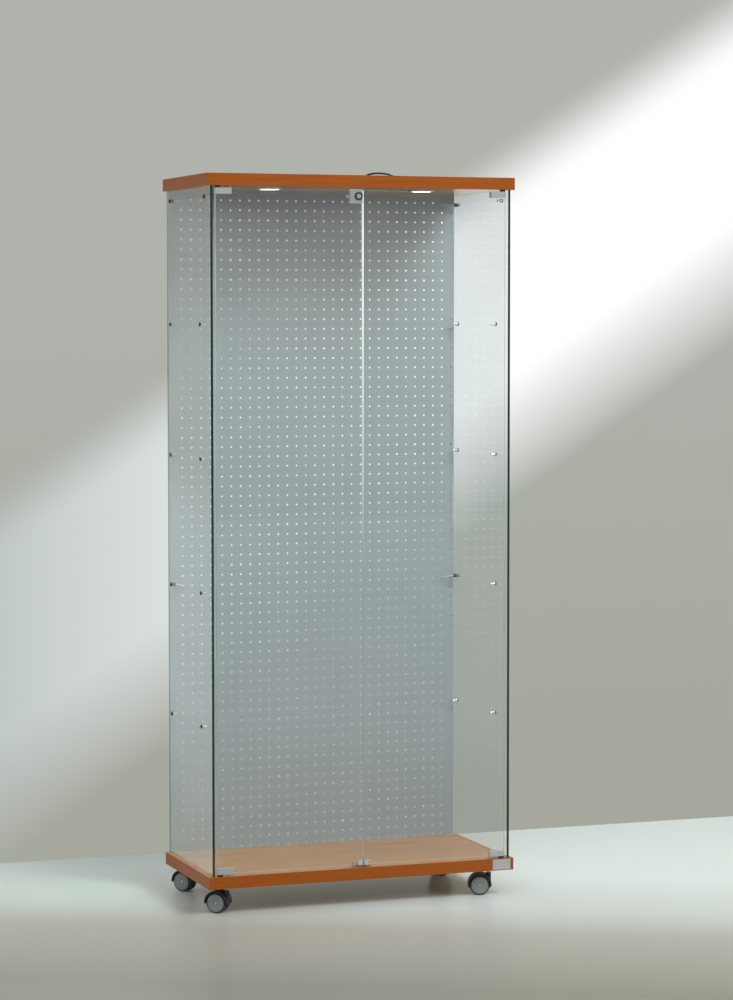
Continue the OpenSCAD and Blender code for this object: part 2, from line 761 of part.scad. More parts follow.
module cord_plug() color("black") translate([plug_x1, plug_y, case_h + plug_size[2] / 2]) {
  translate([-plug_size[0], 0, 0]) rotate([0, 90, 0]) linear_extrude(plug_size[0] - 8)
    union() {
      square([plug_size[2], plug_size[1] - plug_size[2]], center = true);
      for (s = [-1, 1])
        translate([0, s * (plug_size[1] - plug_size[2]) / 2]) circle(d = plug_size[2]);
    }
  translate([-8.01, 0, 0]) rotate([0, 90, 0]) cylinder(d1 = plug_size[2], d2 = cord_d + 1, h = 8.01);
  for (s = [-1, 1]) translate([-plug_size[0] - 19, s * 9.3, 0]) rotate([0, 90, 0])
    cylinder(d = 4, h = 19.01);
}

// ---------- label plate ----------

// The plate lies flush in the front strip, near its right-hand end
module label_seat(h) {
  translate([case_w / 2 - 32, -case_d / 2, base_z0 + board_t / 2]) rotate([-90, 0, 0])
    round_plate(label_size, 0.8, h);
}

module label_plate() color("silver") label_seat(label_t);

// ---------- castors ----------

module castor_stems() color("darkgray") for (c = castors) at_castor(c) {
  rod(stem_pin_d, axle_z + 9, base_z0 - stem_neck_h + 0.01);
  rod(stem_neck_d, base_z0 - stem_neck_h, base_z0);
  rod(stem_d, base_z0 - 0.01, base_z0 + socket_h - 2);
}

module castor_sockets() color("gray") for (c = castors) at_castor(c) difference() {
  rod(socket_d, base_z0, base_z0 + socket_h);
  rod(stem_d + 2 * snug, base_z0 - overcut, base_z0 + socket_h - 1.5);
}

// The hood arches over both wheels. Its middle web carries the axle and the swivel boss
module hood() {
  boss_z1 = base_z0 - stem_neck_h - free;
  difference() {
    union() {
      translate([trail, 0, axle_z]) rotate([90, 0, 0]) intersection() {
        translate([0, 0, -hood_w / 2]) difference() {
          cylinder(r = hood_r, h = hood_w);
          translate([0, 0, -overcut]) cylinder(r = hood_r - hood_t, h = hood_w + 2 * overcut);
        }
        translate([-hood_r - overcut, -2, -hood_w]) cube([2 * hood_r + 2, hood_r + 3, 2 * hood_w]);
      }
      translate([trail, 0, axle_z]) rotate([90, 0, 0]) intersection() {
        translate([0, 0, -wheel_gap / 2 + free]) cylinder(r = hood_r - 1, h = wheel_gap - 2 * free);
        translate([-hood_r, -8, -hood_w]) cube([2 * hood_r, hood_r + 8, 2 * hood_w]);
      }
      rod(boss_d, axle_z + 6, boss_z1);
    }
    rod(stem_pin_d + 2 * running, axle_z + 8, boss_z1 + overcut);
    bar_y(axle_d + 2 * snug, -hood_w, hood_w, trail, axle_z);
  }
}

module castor_hood(c) color("dimgray") at_castor(c) hood();

module castor_axle(c) color("gray") at_castor(c)
  bar_y(axle_d, -hood_w / 2 + 2, hood_w / 2 - 2, trail, axle_z);

// One wheel as a turned section: a round-shouldered tread, a raised disc and a hub bored for the axle
module wheel() {
  r = wheel_d / 2;
  e = 2;
  rotate_extrude() difference() {
    union() {
      translate([axle_d / 2 + running, 0]) square([r - axle_d / 2 - running, wheel_w - e]);
      translate([axle_d / 2 + running, 0]) square([r - e - axle_d / 2 - running, wheel_w]);
      translate([r - e, wheel_w - e]) circle(r = e);
    }
    translate([r - 7, wheel_w - 1]) square([1.5, 2]);
    translate([0, wheel_w - 3]) square([axle_d / 2 + 1.5, 4]);
  }
}

module castor_wheel(c, side) color("darkgray") at_castor(c)
  translate([trail, side * wheel_gap / 2, axle_z]) rotate([side * -90, 0, 0]) wheel();

base_board();
top_board();
base_edging();
top_edging();
left_side_glass();
right_side_glass();
lower_panel();
upper_panel();
panel_ties();
tie_studs();
shelf_pins();
glass_caps();
glass_washers();
pivot_bushes();
lock_strike();
magnetic_catch();
catch_screws();
downlight_bezels();
downlight_lenses();
downlight_cans();
lamp_leads();
lamp_driver();
cord_gland();
lead_to_coil();
cord_coil();
lead_to_plug();
cord_plug();
label_plate();
castor_stems();
castor_sockets();
left_door_glass();
left_hinge_clamps();
left_door_screws();
left_pivot_pins();
left_catch_plate();
lock_body();
lock_shell();
lock_cylinder();
lock_cam();
right_door_glass();
right_hinge_clamps();
right_door_screws();
right_pivot_pins();
right_catch_plate();
for (c = castors) {
  castor_hood(c);
  castor_axle(c);
  castor_wheel(c, 1);
  castor_wheel(c, -1);
}
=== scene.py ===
import json
import math
import bmesh
import bpy
from mathutils import Matrix, Vector


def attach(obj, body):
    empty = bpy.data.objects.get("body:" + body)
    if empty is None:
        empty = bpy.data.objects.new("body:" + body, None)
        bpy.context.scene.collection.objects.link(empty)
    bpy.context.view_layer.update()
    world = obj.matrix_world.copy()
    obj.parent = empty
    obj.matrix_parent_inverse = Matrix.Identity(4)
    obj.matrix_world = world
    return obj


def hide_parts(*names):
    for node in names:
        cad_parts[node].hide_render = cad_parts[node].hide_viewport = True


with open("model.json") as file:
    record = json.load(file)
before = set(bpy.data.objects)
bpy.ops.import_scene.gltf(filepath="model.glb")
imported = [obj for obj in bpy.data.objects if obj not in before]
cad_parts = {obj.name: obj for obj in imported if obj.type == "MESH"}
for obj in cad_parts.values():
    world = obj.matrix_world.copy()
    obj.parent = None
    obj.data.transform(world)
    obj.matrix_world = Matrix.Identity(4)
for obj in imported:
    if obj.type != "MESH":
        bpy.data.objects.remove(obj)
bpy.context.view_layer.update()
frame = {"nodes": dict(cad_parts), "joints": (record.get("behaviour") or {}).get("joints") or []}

MM = 0.001

# ---------------------------------------------------------------- camera
# A long lens a little above half height, left of the case, so that the front, the left side
# and a thin slice of the display floor all show.
camera_place = (-2.4882, -7.0318, 1.4430)
camera_turn_deg = (86.5661, 0.0312, -20.0355)
lens_mm = 106.924
camera = bpy.data.objects.new("camera", bpy.data.cameras.new("camera"))
bpy.context.collection.objects.link(camera)
camera.location = camera_place
camera.rotation_euler = [math.radians(a) for a in camera_turn_deg]
camera.data.sensor_width = 36.0
camera.data.lens = lens_mm
bpy.context.scene.camera = camera
bpy.context.scene.view_settings.view_transform = "Standard"

# ---------------------------------------------------------------- mains lead
# A black PVC flex, 4.8 mm across. It leaves the driver's gland, humps over its own coil, turns
# round and is wound nine times; the last turn runs on into the plug. Its sizes are millimetres.


def linear(code):
    """An sRGB hex colour as linear red, green, blue and alpha."""
    parts = [int(code[i:i + 2], 16) / 255 for i in (1, 3, 5)]
    return [c / 12.92 if c <= 0.04045 else ((c + 0.055) / 1.055) ** 2.4 for c in parts] + [1.0]


def add(tree, kind, values=None, links=None, stops=(), **settings):
    """Adds one node with its settings, its socket values, the sockets linked into it, and the
    (position, hex colour) stops of a colour ramp."""
    made = tree.nodes.new(kind)
    for key, value in settings.items():
        setattr(made, key, value)
    for key, value in (values or {}).items():
        made.inputs[key].default_value = value
    for key, source in (links or {}).items():
        tree.links.new(source, made.inputs[key])
    for n, (position, code) in enumerate(stops):
        held = made.color_ramp.elements
        stop = held[n] if n < len(held) else held.new(position)
        stop.position = position
        stop.color = linear(code)
    return made


def blank(name):
    """A material with an empty node tree, and that tree."""
    made = bpy.data.materials.new(name)
    made.use_nodes = True
    made.node_tree.nodes.clear()
    return made, made.node_tree


def coarseness(grain_mm):
    """The scale that gives a pattern a grain of this many millimetres."""
    return 1 / (grain_mm * MM)


def grained(name, low, high, grain_mm, relief, relief_mm=0.1, detail=2.0, **surface):
    """A material whose grain tints it, from the low to the high colour, and roughens it. A moulded
    or blasted skin's own grain, some 0.1 mm, is too fine to show, so it is drawn 0.7 to 2 mm wide."""
    made, tree = blank(name)
    at = add(tree, "ShaderNodeTexCoord")
    grain = add(tree, "ShaderNodeTexNoise", {"Scale": coarseness(grain_mm), "Detail": detail},
                {"Vector": at.outputs["Object"]})
    tint = add(tree, "ShaderNodeValToRGB", links={"Fac": grain.outputs["Fac"]}, stops=[(0, low), (1, high)])
    bumps = add(tree, "ShaderNodeBump", {"Strength": relief, "Distance": relief_mm * MM},
                {"Height": grain.outputs["Fac"]})
    skin = add(tree, "ShaderNodeBsdfPrincipled", surface,
               {"Base Color": tint.outputs["Color"], "Normal": bumps.outputs["Normal"]})
    add(tree, "ShaderNodeOutputMaterial", links={"Surface": skin.outputs["BSDF"]})
    return made


def place(name, data, body):
    """Puts a finished piece at the origin, riding on a body."""
    piece = bpy.data.objects.new(name, data)
    bpy.context.collection.objects.link(piece)
    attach(piece, body)
    return piece


# Extruded PVC: a soft sheen over a fine matt skin, with a little dust in it
pvc = grained("black PVC flex", "#141414", "#262625", 1.11, relief=0.15, relief_mm=0.2, detail=3.0,
              Roughness=0.42, IOR=1.53)

cord_d = 4.8
to_coil = [
    (84, 115, 1806), (92, 115, 1806), (100, 114.8, 1807.6), (108, 114, 1810.8),
    (116, 113, 1814.6), (124, 112, 1817.6), (132, 111, 1819.6), (141, 110, 1820.6),
    (150, 109, 1821), (159, 108, 1820.6), (168, 107, 1819.6), (176, 106, 1817.8),
    (184, 105.2, 1815), (192, 104.6, 1811.4), (200, 104.2, 1807.8), (208, 104.4, 1804.8),
    (216, 105.8, 1803), (224, 109, 1802.4), (231, 114, 1802.4), (236.4, 120.6, 1802.4),
    (239.4, 128.4, 1802.4), (239.8, 136.8, 1802.4), (237.4, 144.8, 1802.4),
    (232.4, 151.8, 1802.4), (225.4, 157.4, 1802.4), (217, 161, 1802.4), (208, 162.6, 1802.4),
    (196, 162.8, 1802.4), (184, 162.8, 1802.4), (170, 162.8, 1802.4),
]
to_plug = [
    (146, 162.8, 1812), (138, 163, 1811.6), (130, 163.4, 1810.4), (122, 163.8, 1808.8),
    (114, 164, 1807.6), (106, 164, 1807), (100, 164, 1806.85), (94, 164, 1806.85),
]
# Nine turns, three wide and three high, as column and layer in the order they were wound
coil_x, coil_y = 155, 130
top_z = 1800
inner_r = 23.2
turns = [(2, 0), (1, 0), (0, 0), (0, 1), (0, 2), (1, 2), (1, 1), (2, 1), (2, 2)]
steps = 24
step_over_from = 0.75
wound = []
for k in range(len(turns) * steps):
    turn, part = divmod(k, steps)
    column, layer = turns[turn]
    next_column, next_layer = turns[min(turn + 1, len(turns) - 1)]
    over = max(0.0, part / steps - step_over_from) / (1 - step_over_from)
    over = over * over * (3 - 2 * over)
    r = inner_r + cord_d * (column + (next_column - column) * over)
    z = top_z + cord_d * (0.5 + layer + (next_layer - layer) * over)
    angle = math.radians(90) + math.tau * part / steps
    wound.append((coil_x + r * math.cos(angle), coil_y + r * math.sin(angle), z))
last_turn_end = (coil_x, coil_y + inner_r + 2 * cord_d, top_z + 2.5 * cord_d)
route = to_coil + wound + [last_turn_end] + to_plug
line = bpy.data.curves.new("mains_lead", "CURVE")
line.dimensions = "3D"
line.bevel_depth = cord_d / 2 * MM
line.bevel_resolution = 4
line.resolution_u = 3
spline = line.splines.new("BEZIER")
spline.bezier_points.add(len(route) - 1)
for point, co in zip(spline.bezier_points, route):
    point.co = [c * MM for c in co]
    point.handle_left_type = point.handle_right_type = "AUTO"
line.materials.append(pvc)
lead = place("mains_lead", line, "case")
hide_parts("lead_to_coil", "cord_coil", "lead_to_plug")

# ---------------------------------------------------------------- lamps and sky
# A large soft lamp in front on the right, a weaker one on the left and an even pale sky, which
# is dimmer in what the object mirrors and plain pale grey where it is seen outright.
sky_light = 0.55
sky_mirrored = 0.22
sky_grey = linear("#c6cac6")
world = bpy.data.worlds.new("pale room")
bpy.context.scene.world = world
world.use_nodes = True
tree = world.node_tree
tree.nodes.clear()
path = add(tree, "ShaderNodeLightPath")
seen = add(tree, "ShaderNodeMath", links={0: path.outputs["Is Camera Ray"],
                                          1: path.outputs["Is Transmission Ray"]}, operation="MAXIMUM")
dim = add(tree, "ShaderNodeMath", {1: sky_mirrored - sky_light, 2: sky_light},
          {0: path.outputs["Is Glossy Ray"]}, operation="MULTIPLY_ADD")
lit = add(tree, "ShaderNodeBackground", {"Color": linear("#eceeee")}, {"Strength": dim.outputs[0]})
shown = add(tree, "ShaderNodeBackground", {"Color": sky_grey, "Strength": 1.0})
both = add(tree, "ShaderNodeMixShader", links={0: seen.outputs[0], 1: lit.outputs[0], 2: shown.outputs[0]})
add(tree, "ShaderNodeOutputWorld", links={"Surface": both.outputs[0]})
# Name, place, aim, size in metres and power in watts; only the key lamp is mirrored
lamps = (("key", (2.6, -3.4, 4.7), (0, 0, 0.7), 2.2, 205),
         ("fill", (-3.4, -3.0, 3.0), (0, 0, 0.8), 2.6, 65))
for name, where, aim, size, power in lamps:
    lamp = bpy.data.lights.new(name, "AREA")
    lamp.size = size
    lamp.energy = power
    holder = bpy.data.objects.new(name, lamp)
    holder.location = where
    holder.rotation_euler = (Vector(aim) - Vector(where)).to_track_quat("-Z", "Y").to_euler()
    holder.visible_glossy = name == "key"
    bpy.context.collection.objects.link(holder)

# ---------------------------------------------------------------- floor and wall
# Polished pale tiles, with painted shade towards the front and painted light to the right and back,
# that fade into the sky far away, and a plastered wall behind the case with a painted slanting band
# of daylight across it. Neither shows from behind. All these sizes are metres, but for the slope.
half_width = 14
wall_y = 0.69
floor_painted_shade_y, floor_painted_light_y = -1.2, 0.3
haze_from, haze_full = 1.7, 4.0
daylight_dim_x, daylight_full_x = -0.7, 0.8
shade_low_z, shade_high_z = 0.2, 1.6
band_slope = 0.64
band_open_z = (0.45, 0.8)
band_closed_z = (1.25, 1.5)


def one_sided(name, placed, tree, paint, front):
    """Finishes a material whose back can't be seen, and puts it on a large sheet of the stage."""
    side = add(tree, "ShaderNodeNewGeometry")
    away = add(tree, "ShaderNodeBsdfTransparent")
    whole = add(tree, "ShaderNodeMixShader", links={0: side.outputs["Backfacing"], 1: front.outputs[0],
                                                    2: away.outputs[0]})
    add(tree, "ShaderNodeOutputMaterial", links={"Surface": whole.outputs[0]})
    shape = bmesh.new()
    bmesh.ops.create_grid(shape, x_segments=1, y_segments=1, size=half_width)
    bmesh.ops.transform(shape, matrix=placed, verts=shape.verts)
    data = bpy.data.meshes.new(name)
    shape.to_mesh(data)
    shape.free()
    data.materials.append(paint)
    sheet = bpy.data.objects.new(name, data)
    bpy.context.collection.objects.link(sheet)


floor_paint, tree = blank("pale floor")
at = add(tree, "ShaderNodeTexCoord")
slope = add(tree, "ShaderNodeVectorMath", {1: (0.5, 1, 0)}, {0: at.outputs["Object"]},
            operation="DOT_PRODUCT")
near = add(tree, "ShaderNodeMapRange", {"From Min": floor_painted_shade_y, "From Max": floor_painted_light_y},
           {"Value": slope.outputs["Value"]})
# The floor's tone is painted shade towards the front and painted light towards the right and the back
tone = add(tree, "ShaderNodeValToRGB", links={"Fac": near.outputs["Result"]},
           stops=[(0, "#8a877d"), (0.45, "#b0aea6"), (0.66, "#d0d6d3"), (1, "#e8f0f0")])
tiles = add(tree, "ShaderNodeBsdfPrincipled", {"Roughness": 0.26, "Specular IOR Level": 0.4},
            {"Base Color": tone.outputs["Color"]})
reach = add(tree, "ShaderNodeVectorMath", links={0: at.outputs["Object"]}, operation="LENGTH")
haze = add(tree, "ShaderNodeMapRange", {"From Min": haze_from, "From Max": haze_full},
           {"Value": reach.outputs["Value"]}, interpolation_type="SMOOTHSTEP")
path = add(tree, "ShaderNodeLightPath")
far = add(tree, "ShaderNodeMath", links={0: haze.outputs["Result"], 1: path.outputs["Is Diffuse Ray"]},
          operation="SUBTRACT", use_clamp=True)
pale = add(tree, "ShaderNodeEmission", {"Color": sky_grey})
front = add(tree, "ShaderNodeMixShader", links={0: far.outputs[0], 1: tiles.outputs[0], 2: pale.outputs[0]})
one_sided("floor", Matrix.Identity(4), tree, floor_paint, front)

wall_paint, tree = blank("pale wall")
at = add(tree, "ShaderNodeTexCoord")
split = add(tree, "ShaderNodeSeparateXYZ", links={"Vector": at.outputs["Object"]})
over = add(tree, "ShaderNodeMapRange", {"From Min": daylight_dim_x, "From Max": daylight_full_x},
           {"Value": split.outputs["X"]})
daylight = add(tree, "ShaderNodeValToRGB", links={"Fac": over.outputs["Result"]},
               stops=[(0, "#c2cac9"), (0.2, "#d3d9d8"), (0.33, "#dce2e0"), (0.53, "#e6eae8"),
                      (0.73, "#f3f6f5"), (0.87, "#ffffff")])
# Painted shade: outside the band the wall is darker low down
under = add(tree, "ShaderNodeMapRange", {"From Min": shade_low_z, "From Max": shade_high_z},
            {"Value": split.outputs["Z"]})
shaded = add(tree, "ShaderNodeValToRGB", links={"Fac": under.outputs["Result"]},
             stops=[(0, "#a6a89d"), (1, "#b0b3ac")])
# The painted band of daylight rises to the right. It opens slowly below and closes fast above.
slant = add(tree, "ShaderNodeVectorMath", {1: (-band_slope, 0, 1)}, {0: at.outputs["Object"]},
            operation="DOT_PRODUCT")
below = add(tree, "ShaderNodeValToRGB", links={"Fac": slant.outputs["Value"]},
            stops=[(band_open_z[0], "#000000"), (band_open_z[1], "#ffffff")])
above = add(tree, "ShaderNodeMapRange",
            {"From Min": band_closed_z[0], "From Max": band_closed_z[1], "To Min": 1, "To Max": 0},
            {"Value": slant.outputs["Value"]}, interpolation_type="SMOOTHSTEP")
band = add(tree, "ShaderNodeMath", links={0: below.outputs["Color"], 1: above.outputs["Result"]},
           operation="MULTIPLY")
tone = add(tree, "ShaderNodeMixRGB", links={"Fac": band.outputs[0], "Color1": shaded.outputs["Color"],
                                            "Color2": daylight.outputs["Color"]})
glow = add(tree, "ShaderNodeEmission", links={"Color": tone.outputs["Color"]})
plaster = add(tree, "ShaderNodeBsdfDiffuse", {"Color": linear("#c4c8c3")})
path = add(tree, "ShaderNodeLightPath")
front = add(tree, "ShaderNodeMixShader", links={0: path.outputs["Is Diffuse Ray"], 1: glow.outputs[0],
                                                2: plaster.outputs[0]})
upright = Matrix.Translation((0, wall_y, half_width)) @ Matrix.Rotation(math.radians(90), 4, "X")
one_sided("wall", upright, tree, wall_paint, front)

# ---------------------------------------------------------------- boards
# Chipboard faced with cherry-coloured laminate, pressed to a satin face. The grain runs along
# the case, and its tone drifts slowly across each board.


def dress(finish, *names):
    """Gives CAD nodes their finish."""
    for name in names:
        for held in frame["nodes"][name].material_slots:
            held.material = finish


# In millimetres along, across and up: a fibre is 150 long and 3 wide, and a cloud of tone is
# four times as long
face_fibre = (151.5, 2.84, 2.84)
face_cloud = (625, 55.6, 55.6)
laminate, tree = blank("cherry laminate")
at = add(tree, "ShaderNodeTexCoord")
along = add(tree, "ShaderNodeMapping", {"Scale": [coarseness(grain) for grain in face_fibre]},
            {"Vector": at.outputs["Object"]})
fibre = add(tree, "ShaderNodeTexNoise",
            {"Scale": 1.0, "Detail": 7.0, "Roughness": 0.62, "Distortion": 0.25},
            {"Vector": along.outputs["Vector"]})
tone = add(tree, "ShaderNodeValToRGB", links={"Fac": fibre.outputs["Fac"]},
           stops=[(0.28, "#a06a3c"), (0.74, "#b98350")])
slow = add(tree, "ShaderNodeMapping", {"Scale": [coarseness(grain) for grain in face_cloud]},
           {"Vector": at.outputs["Object"]})
figure = add(tree, "ShaderNodeTexNoise", {"Scale": 1.0, "Detail": 3.0}, {"Vector": slow.outputs["Vector"]})
drift = add(tree, "ShaderNodeMapRange", {"To Min": 0.86, "To Max": 1.12}, {"Value": figure.outputs["Fac"]})
drifted = add(tree, "ShaderNodeHueSaturation", links={"Color": tone.outputs["Color"],
                                                      "Value": drift.outputs["Result"]})
pores = add(tree, "ShaderNodeBump", {"Strength": 0.03, "Distance": 0.1 * MM},
            {"Height": fibre.outputs["Fac"]})
shade = add(tree, "ShaderNodeBsdfPrincipled", {"Roughness": 0.15, "IOR": 1.5},
            {"Base Color": drifted.outputs["Color"], "Normal": pores.outputs["Normal"]})
add(tree, "ShaderNodeOutputMaterial", links={"Surface": shade.outputs["BSDF"]})
dress(laminate, "base_board", "top_board")

# ---------------------------------------------------------------- edge strips
# A 2 mm strip of the same cherry, redder than the face, glued round each board and eased by
# hand. Its grain runs round the board, as lines that are 1 mm high and about 170 mm long.
strip_fibre = (166.7, 166.7, 0.992)
strip, tree = blank("cherry edge strip")
at = add(tree, "ShaderNodeTexCoord")
along = add(tree, "ShaderNodeMapping", {"Scale": [coarseness(grain) for grain in strip_fibre]},
            {"Vector": at.outputs["Object"]})
fibre = add(tree, "ShaderNodeTexNoise", {"Scale": 1.0, "Detail": 6.0, "Roughness": 0.6},
            {"Vector": along.outputs["Vector"]})
tone = add(tree, "ShaderNodeValToRGB", links={"Fac": fibre.outputs["Fac"]},
           stops=[(0.3, "#8a4411"), (0.72, "#a95c22")])
shade = add(tree, "ShaderNodeBsdfPrincipled", {"Roughness": 0.36, "IOR": 1.5, "Specular IOR Level": 0.15},
            {"Base Color": tone.outputs["Color"]})
add(tree, "ShaderNodeOutputMaterial", links={"Surface": shade.outputs["BSDF"]})
dress(strip, "base_edging", "top_edging")


def ease(width, *names):
    """Joins a node's triangles into faces and rounds its edges."""
    for name in names:
        piece = frame["nodes"][name]
        weld = piece.modifiers.new("weld", "WELD")
        weld.merge_threshold = 0.01 * MM
        flat = piece.modifiers.new("flat", "DECIMATE")
        flat.decimate_type = "DISSOLVE"
        flat.angle_limit = math.radians(1)
        edge = piece.modifiers.new("eased", "BEVEL")
        edge.width = width
        edge.segments = 2
        edge.limit_method = "ANGLE"
        edge.angle_limit = math.radians(35)


ease(0.8 * MM, "base_edging", "top_edging")

# ---------------------------------------------------------------- glass sides and doors
# Clear 6 mm float glass with ground and polished edges. Its iron shows as green only where one
# looks along the pane, at the sides' edges. The doors' edges carry a painted glow, standing in
# for the downlights' light running down inside the panes: most of it at the meeting edges, near the top.
painted_glow_from_z, painted_glow_full_z = 700, 1750
hinge_x, hinge_share = 370, 0.25
# Above this share of its normal across the pane, a point is on a face and not on an edge
square_on = 0.7
for name, across, edge, deep, painted_edge_glow, panes in (
        ("float glass sides", "X", "#24443a", 0.4, 0.0, ("left_side_glass", "right_side_glass")),
        ("float glass doors", "Y", "#e9f2ee", 0.5, 0.8, ("left_door_glass", "right_door_glass"))):
    glass, tree = blank(name)
    at = add(tree, "ShaderNodeTexCoord")
    facing = add(tree, "ShaderNodeSeparateXYZ", links={"Vector": at.outputs["Normal"]})
    square = add(tree, "ShaderNodeMath", links={0: facing.outputs[across]}, operation="ABSOLUTE")
    on_face = add(tree, "ShaderNodeMath", {1: square_on}, {0: square.outputs[0]}, operation="GREATER_THAN")
    smear = add(tree, "ShaderNodeTexNoise", {"Scale": coarseness(200), "Detail": 3.0},
                {"Vector": at.outputs["Object"]})
    wiped = add(tree, "ShaderNodeMapRange", {"From Min": 0.55, "From Max": 0.8, "To Max": 0.025},
                {"Value": smear.outputs["Fac"]})
    clear = add(tree, "ShaderNodeBsdfPrincipled", {"Base Color": linear("#fbfefe"), "IOR": 1.5,
                                                   "Transmission Weight": 1.0},
                {"Roughness": wiped.outputs["Result"]})
    spot = add(tree, "ShaderNodeSeparateXYZ", links={"Vector": at.outputs["Object"]})
    out = add(tree, "ShaderNodeMath", links={0: spot.outputs["X"]}, operation="ABSOLUTE")
    # Painted glow on the edges, not a lamp: strongest at the meeting edges and near the top, weaker at the
    # hinges and gone below 700 mm
    most = add(tree, "ShaderNodeMapRange",
               {"From Max": hinge_x * MM, "To Min": painted_edge_glow, "To Max": hinge_share * painted_edge_glow},
               {"Value": out.outputs[0]})
    painted_glow_strength = add(tree, "ShaderNodeMapRange",
                  {"From Min": painted_glow_from_z * MM, "From Max": painted_glow_full_z * MM},
                  {"Value": spot.outputs["Z"], "To Max": most.outputs["Result"]},
                  interpolation_type="SMOOTHSTEP")
    ground = add(tree, "ShaderNodeBsdfPrincipled",
                 {"Base Color": linear(edge), "Roughness": 0.15, "IOR": 1.5,
                  "Transmission Weight": deep, "Emission Color": linear("#f4fbf4")},
                 {"Emission Strength": painted_glow_strength.outputs["Result"]})
    solid = add(tree, "ShaderNodeMixShader", links={0: on_face.outputs[0], 1: ground.outputs[0],
                                                    2: clear.outputs[0]})
    through = add(tree, "ShaderNodeBsdfTransparent", {"Color": linear("#f0f7f4")})
    path = add(tree, "ShaderNodeLightPath")
    pane = add(tree, "ShaderNodeMixShader", links={0: path.outputs["Is Shadow Ray"], 1: solid.outputs[0],
                                                   2: through.outputs[0]})
    add(tree, "ShaderNodeOutputMaterial", links={"Surface": pane.outputs[0]})
    dress(glass, *panes)

# ---------------------------------------------------------------- perforated back
# Folded 1.2 mm steel sheet, punched and then powder coated in a silver grey with a soft gloss
# and the slight orange peel, 3 mm across, that such a coat has.
powder, tree = blank("silver grey powder coat")
at = add(tree, "ShaderNodeTexCoord")
peel = add(tree, "ShaderNodeTexNoise", {"Scale": coarseness(3.125), "Detail": 2.0},
           {"Vector": at.outputs["Object"]})
bump = add(tree, "ShaderNodeBump", {"Strength": 0.1, "Distance": 0.3 * MM}, {"Height": peel.outputs["Fac"]})
cloud = add(tree, "ShaderNodeTexNoise", {"Scale": coarseness(400), "Detail": 2.0},
            {"Vector": at.outputs["Object"]})
tone = add(tree, "ShaderNodeValToRGB", links={"Fac": cloud.outputs["Fac"]},
           stops=[(0, "#8c9196"), (1, "#959a9f")])
shade = add(tree, "ShaderNodeBsdfPrincipled", {"Roughness": 0.45, "Metallic": 0.1},
            {"Base Color": tone.outputs["Color"], "Normal": bump.outputs["Normal"]})
add(tree, "ShaderNodeOutputMaterial", links={"Surface": shade.outputs["BSDF"]})
dress(powder, "lower_panel", "upper_panel")

# ---------------------------------------------------------------- satin hinge clamps and small steel
# Zinc castings, nickel plated and bead blasted to an even satin, with turned steel pins, ties
# and screws of nearly the same grey.
satin = grained("satin nickel", "#b4b8b8", "#cdd1d1", 0.714, relief=0.1, Roughness=0.34, Metallic=0.6)
ease(0.5 * MM, "left_hinge_clamps", "right_hinge_clamps")
dress(satin, "left_hinge_clamps", "right_hinge_clamps", "left_door_screws", "right_door_screws",
      "left_pivot_pins", "right_pivot_pins", "panel_ties", "catch_screws", "castor_stems",
      "castor_sockets", "lock_cam", "lock_cylinder", "label_plate",
      "fl_castor_axle", "fr_castor_axle", "bl_castor_axle", "br_castor_axle")

# ---------------------------------------------------------------- downlights
# Spun steel rings, plated like the clamps, under frosted polycarbonate lenses that are lit from
# behind. Each ring's flared throat has a painted glow for the lamp's light falling on it.
throat_r = 23.8
# The throats' centres, with their signs dropped, are one place
throat_at = (200, 60, 1768)
ring, tree = blank("plated downlight ring")
at = add(tree, "ShaderNodeTexCoord")
fold = add(tree, "ShaderNodeVectorMath", links={0: at.outputs["Object"]}, operation="ABSOLUTE")
reach = add(tree, "ShaderNodeVectorMath", {1: [c * MM for c in throat_at]}, {0: fold.outputs[0]},
            operation="DISTANCE")
throat = add(tree, "ShaderNodeMath", {1: throat_r * MM}, {0: reach.outputs["Value"]},
             operation="LESS_THAN")
plate = add(tree, "ShaderNodeBsdfPrincipled", {"Base Color": linear("#b4b7b7"), "Metallic": 1.0,
                                               "Roughness": 0.3})
# Painted glow on the throat, not a lamp: the lamp's light on it is drawn as emission
glow = add(tree, "ShaderNodeEmission", {"Color": linear("#fff3dc"), "Strength": 5.0})
shade = add(tree, "ShaderNodeMixShader",
            links={0: throat.outputs[0], 1: plate.outputs[0], 2: glow.outputs[0]})
add(tree, "ShaderNodeOutputMaterial", links={"Surface": shade.outputs[0]})
dress(ring, "downlight_bezels")
frost, tree = blank("frosted polycarbonate")
shade = add(tree, "ShaderNodeBsdfPrincipled",
            {"Base Color": linear("#f2efe6"), "Roughness": 0.5, "IOR": 1.58,
             "Emission Color": linear("#fff1d6"), "Emission Strength": 120.0})
add(tree, "ShaderNodeOutputMaterial", links={"Surface": shade.outputs["BSDF"]})
dress(frost, "downlight_lenses")

# ---------------------------------------------------------------- chrome
# Bright chromium plate on the lock, its strike, the catch's clips and the shelf pins: smooth,
# with faint level hairlines where it was polished, drawn 0.4 mm apart, coarser than they are.
hairline = (16.7, 16.7, 0.4)
chrome, tree = blank("bright chrome")
at = add(tree, "ShaderNodeTexCoord")
along = add(tree, "ShaderNodeMapping", {"Scale": [coarseness(grain) for grain in hairline]},
            {"Vector": at.outputs["Object"]})
hair = add(tree, "ShaderNodeTexNoise", {"Scale": 1.0, "Detail": 2.0}, {"Vector": along.outputs["Vector"]})
dull = add(tree, "ShaderNodeMapRange", {"To Min": 0.08, "To Max": 0.2}, {"Value": hair.outputs["Fac"]})
shade = add(tree, "ShaderNodeBsdfPrincipled", {"Base Color": linear("#e2e5e5"), "Metallic": 0.75},
            {"Roughness": dull.outputs["Result"]})
add(tree, "ShaderNodeOutputMaterial", links={"Surface": shade.outputs["BSDF"]})
dress(chrome, "lock_body", "lock_strike", "left_catch_plate", "right_catch_plate", "shelf_pins")
ease(0.4 * MM, "lock_body")

